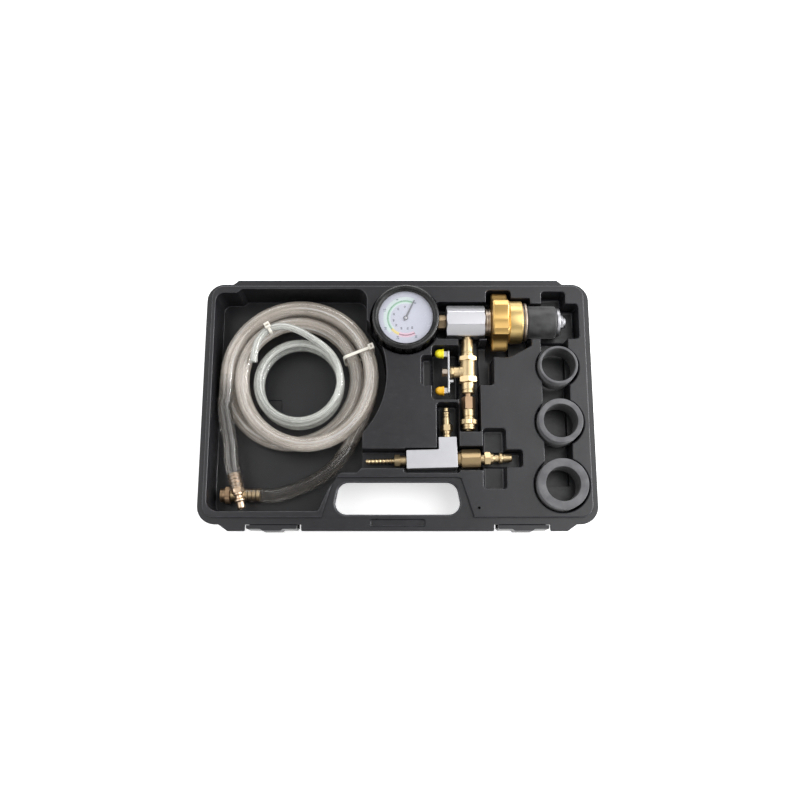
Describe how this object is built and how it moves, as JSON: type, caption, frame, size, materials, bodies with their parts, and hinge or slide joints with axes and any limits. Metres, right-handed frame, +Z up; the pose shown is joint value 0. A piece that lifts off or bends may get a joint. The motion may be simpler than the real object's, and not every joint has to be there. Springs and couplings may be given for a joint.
{
  "type": "coolant vacuum filler",
  "caption": "Moulded tray case with a vacuum gauge filler head, venturi block, rubber adapter rings and coiled hoses, for refilling an engine's coolant.",
  "frame": {"origin": "centre of the case's flat underside", "axes": "+X to the right along the case's length, +Y from the latches to the back, +Z up out of the open tray"},
  "size_m": [0.42, 0.2756, 0.0714],
  "materials": {
    "moulded_black": "fine moulded grain",
    "boot_rubber": "satin",
    "adapter_rubber": "matt",
    "plug_rubber": "matt",
    "bright_aluminium": "turned bright",
    "satin_aluminium": "satin",
    "gold_anodised": "anodised",
    "brass": "turned",
    "bronze": "dull",
    "steel": "zinc plated",
    "dark_steel": "black",
    "dial_white": "matt",
    "lens_clear": "clear",
    "needle_black": "satin",
    "seal_white": "satin",
    "cap_yellow": "gloss",
    "hose_clear": "clear",
    "hose_milky": "milky",
    "tie_white": "satin"
  },
  "bodies": {
    "case": {"case_base": "moulded_black"},
    "latch_right": {"latch_right": "moulded_black"},
    "latch_left": {"latch_left": "moulded_black"},
    "filler": {"gauge_boot": "boot_rubber", "gauge_case": "dark_steel", "gauge_bezel": "dark_steel", "gauge_dial": "dial_white", "gauge_lens": "lens_clear", "bourdon_tube": "bronze", "gauge_movement": "brass", "gauge_stem": "brass", "gauge_adapter_nut": "bronze", "body_block": "bright_aluminium", "neck_ring": "satin_aluminium", "draw_tube": "brass", "rubber_plug": "plug_rubber", "end_washer": "bright_aluminium", "end_nut": "brass", "valve_nipple": "brass", "valve_body": "brass", "valve_end": "brass", "seat_upper": "seal_white", "seat_lower": "seal_white", "packing_nut": "brass", "coupler_adapter": "brass", "coupler_body": "brass", "coupler_spring": "steel", "coupler_seal": "plug_rubber"},
    "needle": {"gauge_needle": "needle_black"},
    "pusher": {"pressure_collar": "gold_anodised", "thrust_ring": "dark_steel", "front_washer": "bright_aluminium"},
    "knob": {"star_knob": "gold_anodised"},
    "lever": {"lever_plate": "steel", "lever_cap_upper": "cap_yellow", "lever_cap_lower": "cap_yellow", "lever_screw": "steel", "valve_stem": "brass", "valve_ball": "steel"},
    "coupler_sleeve": {"coupler_sleeve": "brass"},
    "venturi": {"venturi_block": "satin_aluminium", "vacuum_nipple": "brass", "exhaust_barb": "brass", "air_hex": "brass", "air_plug": "brass", "venturi_nozzle": "brass"},
    "ring_small": {"adapter_ring_small": "adapter_rubber"},
    "ring_medium": {"adapter_ring_medium": "adapter_rubber"},
    "ring_large": {"adapter_ring_large": "adapter_rubber"},
    "hose_large": {"hose_large_coil": "hose_clear", "hose_tail_plug_end": "hose_clear", "hose_tail_coupler_end": "hose_clear", "hose_plug": "brass", "hose_coupler_body": "brass", "hose_coupler_spring": "steel", "hose_tie_large": "tie_white"},
    "hose_coupler_sleeve": {"hose_coupler_sleeve": "brass"},
    "hose_small": {"hose_small_coil": "hose_milky", "hose_tie_small": "tie_white"}
  },
  "joints": [
    {"name": "latch_right_slide", "type": "slide", "parent": "case", "child": "latch_right", "axis": [-1, 0, 0], "range_m": [0, 0.0035]},
    {"name": "latch_left_slide", "type": "slide", "parent": "case", "child": "latch_left", "axis": [1, 0, 0], "range_m": [0, 0.0035]},
    {"name": "filler_lift", "type": "slide", "parent": "case", "child": "filler", "axis": [0, 0, 1], "range_m": [0, 0.09]},
    {"name": "needle_turn", "type": "hinge", "parent": "filler", "child": "needle", "pos_m": [0.0087, 0.091, 0.0565], "axis": [0, 0, 1], "range_deg": [0, 235], "stiffness_Nm_per_rad": 0.0002, "springref_deg": -11.46},
    {"name": "plug_squeeze", "type": "slide", "parent": "filler", "child": "pusher", "axis": [1, 0, 0], "range_m": [0, 0.003], "deforming": ["rubber_plug"]},
    {"name": "knob_turn", "type": "hinge", "parent": "pusher", "child": "knob", "pos_m": [0.1026, 0.091, 0.04], "axis": [1, 0, 0], "range_deg": [0, 720]},
    {"name": "lever_turn", "type": "hinge", "parent": "filler", "child": "lever", "pos_m": [0.07651, 0.0344, 0.04], "axis": [1, 0, 0], "range_deg": [0, 90]},
    {"name": "coupler_sleeve_slide", "type": "slide", "parent": "filler", "child": "coupler_sleeve", "axis": [0, 1, 0], "range_m": [0, 0.0025], "stiffness_N_per_m": 300, "springref_m": -0.002, "deforming": ["coupler_spring"]},
    {"name": "venturi_lift", "type": "slide", "parent": "case", "child": "venturi", "axis": [0, 0, 1], "range_m": [0, 0.09]},
    {"name": "ring_small_lift", "type": "slide", "parent": "case", "child": "ring_small", "axis": [0, 0, 1], "range_m": [0, 0.09]},
    {"name": "ring_medium_lift", "type": "slide", "parent": "case", "child": "ring_medium", "axis": [0, 0, 1], "range_m": [0, 0.09]},
    {"name": "ring_large_lift", "type": "slide", "parent": "case", "child": "ring_large", "axis": [0, 0, 1], "range_m": [0, 0.09]},
    {"name": "hose_large_lift", "type": "slide", "parent": "case", "child": "hose_large", "axis": [0, 0, 1], "range_m": [0, 0.09]},
    {"name": "hose_coupler_sleeve_slide", "type": "slide", "parent": "hose_large", "child": "hose_coupler_sleeve", "axis": [1, 0, 0], "range_m": [0, 0.0025], "stiffness_N_per_m": 300, "springref_m": -0.002, "deforming": ["hose_coupler_spring"]},
    {"name": "hose_small_lift", "type": "slide", "parent": "hose_large", "child": "hose_small", "axis": [0, 0, 1], "range_m": [0, 0.09]}
  ],
  "couplings": [
    {"joint": "plug_squeeze", "follows": "knob_turn", "m_per_rad": 0.00023873}
  ]
}
